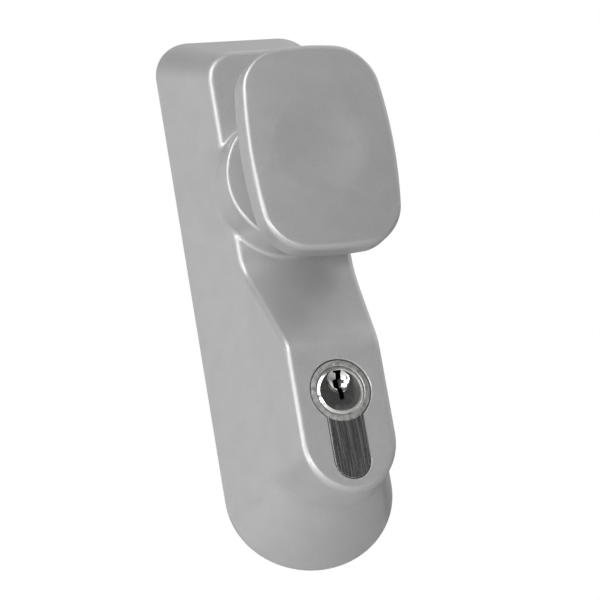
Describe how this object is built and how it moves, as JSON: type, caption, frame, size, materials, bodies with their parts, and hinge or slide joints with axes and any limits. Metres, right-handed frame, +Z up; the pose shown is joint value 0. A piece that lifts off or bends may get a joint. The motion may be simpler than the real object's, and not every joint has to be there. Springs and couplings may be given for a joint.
{
  "type": "knob-operated outside access device with half euro cylinder",
  "caption": "Tall narrow cast cover with rounded ends, carrying a cushion-shaped turning knob on a round boss above a keyed half euro cylinder set in a raised nose",
  "frame": {"origin": "on the knob's spindle axis, in the plane of the door's outer face, which the cover's rim and the back plate rest on", "axes": "+X to the right as seen from outside the door, +Y into the door along the spindle, +Z up the cover"},
  "size_m": [0.05, 0.1191, 0.1599],
  "materials": {
    "silver_paint": "semi-gloss silver-grey metallic paint on die-cast zinc",
    "silver_paint_knob": "semi-gloss silver-grey metallic paint on die-cast zinc",
    "zinc_plate": "bright zinc-plated pressed steel",
    "zinc_screws": "bright zinc-plated steel",
    "bronze": "sintered bronze",
    "nickel_body": "satin nickel plate over brass, broached lengthways",
    "polished_plug": "polished nickel plate over brass",
    "pin_brass": "turned brass",
    "spring_steel": "drawn spring steel",
    "black_steel": "phosphated black steel",
    "bright_steel": "sintered steel, oiled",
    "spindle_steel": "bright drawn steel bar"
  },
  "bodies": {
    "housing": {"housing": "silver_paint", "back_plate": "zinc_plate", "back_plate_screws": "zinc_screws", "fixing_posts": "zinc_screws", "slide_guide_studs": "zinc_screws", "follower_bush": "bronze", "shaft_bush": "bronze", "cylinder_body": "nickel_body", "cylinder_brackets": "zinc_plate", "cylinder_fixing_screw": "zinc_screws", "driver_pins": "pin_brass", "pin_springs": "spring_steel", "pin_caps": "pin_brass", "knob_return_spring": "spring_steel"},
    "knob": {"knob": "silver_paint_knob", "knob_grub_screw": "black_steel", "knob_shaft": "bright_steel", "thrust_washer": "spring_steel", "shaft_circlip": "black_steel", "knob_driver": "bright_steel", "driver_washer": "zinc_screws", "driver_screw": "zinc_screws"},
    "follower": {"follower": "bright_steel", "spindle": "spindle_steel", "spindle_pin": "spring_steel", "clutch_spring": "spring_steel"},
    "clutch_collar": {"clutch_collar": "bright_steel"},
    "lock_slide": {"lock_slide": "zinc_plate"},
    "cylinder_plug": {"cylinder_plug": "polished_plug", "cylinder_cam": "bright_steel", "plug_circlip": "black_steel", "key_pins": "pin_brass"}
  },
  "joints": [
    {"name": "knob_turn", "type": "hinge", "parent": "housing", "child": "knob", "pos_m": [0, 0, 0], "axis": [0, -1, 0], "range_deg": [-50, 50], "stiffness_Nm_per_rad": 0.4, "deforming": ["knob_return_spring"]},
    {"name": "follower_turn", "type": "hinge", "parent": "housing", "child": "follower", "pos_m": [0, 0, 0], "axis": [0, -1, 0], "range_deg": [-50, 50]},
    {"name": "key_turn", "type": "hinge", "parent": "housing", "child": "cylinder_plug", "pos_m": [0, 0, -0.06405], "axis": [0, -1, 0], "range_deg": [0, 60]},
    {"name": "slide_lift", "type": "slide", "parent": "housing", "child": "lock_slide", "axis": [0, 0, 1], "range_m": [0, 0.0121]},
    {"name": "collar_shift", "type": "slide", "parent": "follower", "child": "clutch_collar", "axis": [0, -1, 0], "range_m": [0, 0.0028], "deforming": ["clutch_spring"]}
  ],
  "couplings": [
    {"joint": "follower_turn", "follows": "knob_turn", "ratio": 1},
    {"joint": "key_turn", "follows": "slide_lift", "rad_per_m": 86.54},
    {"joint": "collar_shift", "follows": "slide_lift", "ratio": 0.2314}
  ]
}
